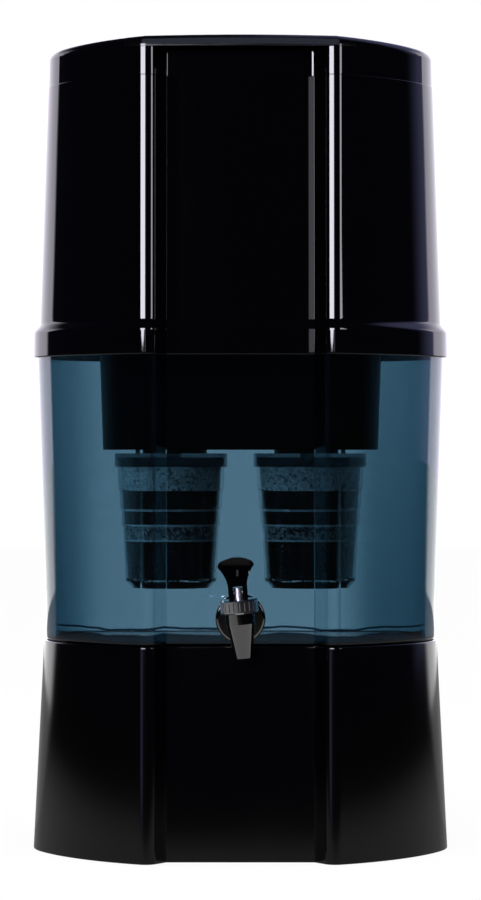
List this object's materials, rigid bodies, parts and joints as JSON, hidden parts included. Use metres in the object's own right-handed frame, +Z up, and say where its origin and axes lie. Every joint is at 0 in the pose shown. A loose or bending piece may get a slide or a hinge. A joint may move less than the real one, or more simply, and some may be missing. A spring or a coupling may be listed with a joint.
{
  "type": "gravity water filter with tap",
  "caption": "Free-standing gravity water filter: black upper container with cup filters over a clear tinted lower container on a flared stand, with a lever tap and a hatch in the lid.",
  "frame": {"origin": "on the floor, under the middle of the stand: the centre of the object side to side, at the depth where it is widest", "axes": "+Z up, -Y towards the front where the tap is, +X to the right seen from the front"},
  "size_m": [0.3144, 0.2445, 0.6051],
  "materials": {
    "stand_black": "moulded black plastic, soft gloss",
    "container_clear": "clear blue-green tinted plastic, polished",
    "upper_black": "high-gloss black plastic",
    "lid_black": "high-gloss black plastic",
    "hatch_black": "satin-gloss black plastic",
    "pin_steel": "drawn steel pin",
    "filter_cup_smoke": "smoke-tinted clear plastic",
    "filter_cap_smoke": "smoke-tinted clear plastic",
    "seal_rubber": "soft black rubber",
    "nut_plastic": "black nylon",
    "strainer_plastic": "white moulded strainer",
    "granules": "loose pale mineral granules",
    "carbon": "black activated carbon granules",
    "mineral": "grey mineral grains",
    "felt": "pale felt disc",
    "tap_black": "black moulded tap body",
    "tap_chrome": "chromed fluted ring",
    "tap_silicone": "pale silicone",
    "stem_chrome": "polished metal stem",
    "lever_black": "glossy black lever"
  },
  "bodies": {
    "base": {"base_stand": "stand_black"},
    "lower_container": {"lower_container": "container_clear", "tap_body": "tap_black", "tap_outer_gasket": "seal_rubber", "tap_inner_gasket": "seal_rubber", "tap_lock_nut": "nut_plastic", "tap_bonnet": "tap_chrome"},
    "tap_stem": {"tap_stem": "stem_chrome", "tap_seat_cup": "tap_silicone", "tap_lever_pin": "pin_steel"},
    "tap_lever": {"tap_lever": "lever_black"},
    "upper_container": {"upper_container": "upper_black", "filter_tub": "upper_black", "left_filter_cup": "filter_cup_smoke", "left_filter_cap": "filter_cap_smoke", "left_filter_gasket": "seal_rubber", "left_filter_nut": "nut_plastic", "left_filter_strainer": "strainer_plastic", "left_filter_granular_bed": "granules", "left_filter_upper_carbon": "carbon", "left_filter_middle_carbon": "carbon", "left_filter_mineral_band": "mineral", "left_filter_lower_carbon": "carbon", "left_filter_felt_discs": "felt", "right_filter_cup": "filter_cup_smoke", "right_filter_cap": "filter_cap_smoke", "right_filter_gasket": "seal_rubber", "right_filter_nut": "nut_plastic", "right_filter_strainer": "strainer_plastic", "right_filter_granular_bed": "granules", "right_filter_upper_carbon": "carbon", "right_filter_middle_carbon": "carbon", "right_filter_mineral_band": "mineral", "right_filter_lower_carbon": "carbon", "right_filter_felt_discs": "felt"},
    "lid": {"lid": "lid_black", "hatch_pins": "pin_steel"},
    "hatch": {"hatch": "hatch_black"}
  },
  "joints": [
    {"name": "lower_container_lift", "type": "slide", "parent": "base", "child": "lower_container", "axis": [0, 0, 1], "range_m": [0, 0.03]},
    {"name": "upper_container_lift", "type": "slide", "parent": "lower_container", "child": "upper_container", "axis": [0, 0, 1], "range_m": [0, 0.2]},
    {"name": "lid_lift", "type": "slide", "parent": "upper_container", "child": "lid", "axis": [0, 0, 1], "range_m": [0, 0.03]},
    {"name": "hatch_hinge", "type": "hinge", "parent": "lid", "child": "hatch", "pos_m": [0, 0.024, 0.6005], "axis": [-1, 0, 0], "range_deg": [0, 95]},
    {"name": "tap_stem_slide", "type": "slide", "parent": "lower_container", "child": "tap_stem", "axis": [-0.0872, -0.0333, 0.9956], "range_m": [0, 0.0031]},
    {"name": "tap_lever_tilt", "type": "hinge", "parent": "tap_stem", "child": "tap_lever", "pos_m": [-0.00184, -0.11876, 0.19814], "axis": [0.9962, -0.0029, 0.0871], "range_deg": [0, 35], "stiffness_Nm_per_rad": 0.12, "springref_deg": -17.19}
  ],
  "couplings": [
    {"joint": "tap_stem_slide", "follows": "tap_lever_tilt", "m_per_rad": 0.0049111}
  ]
}
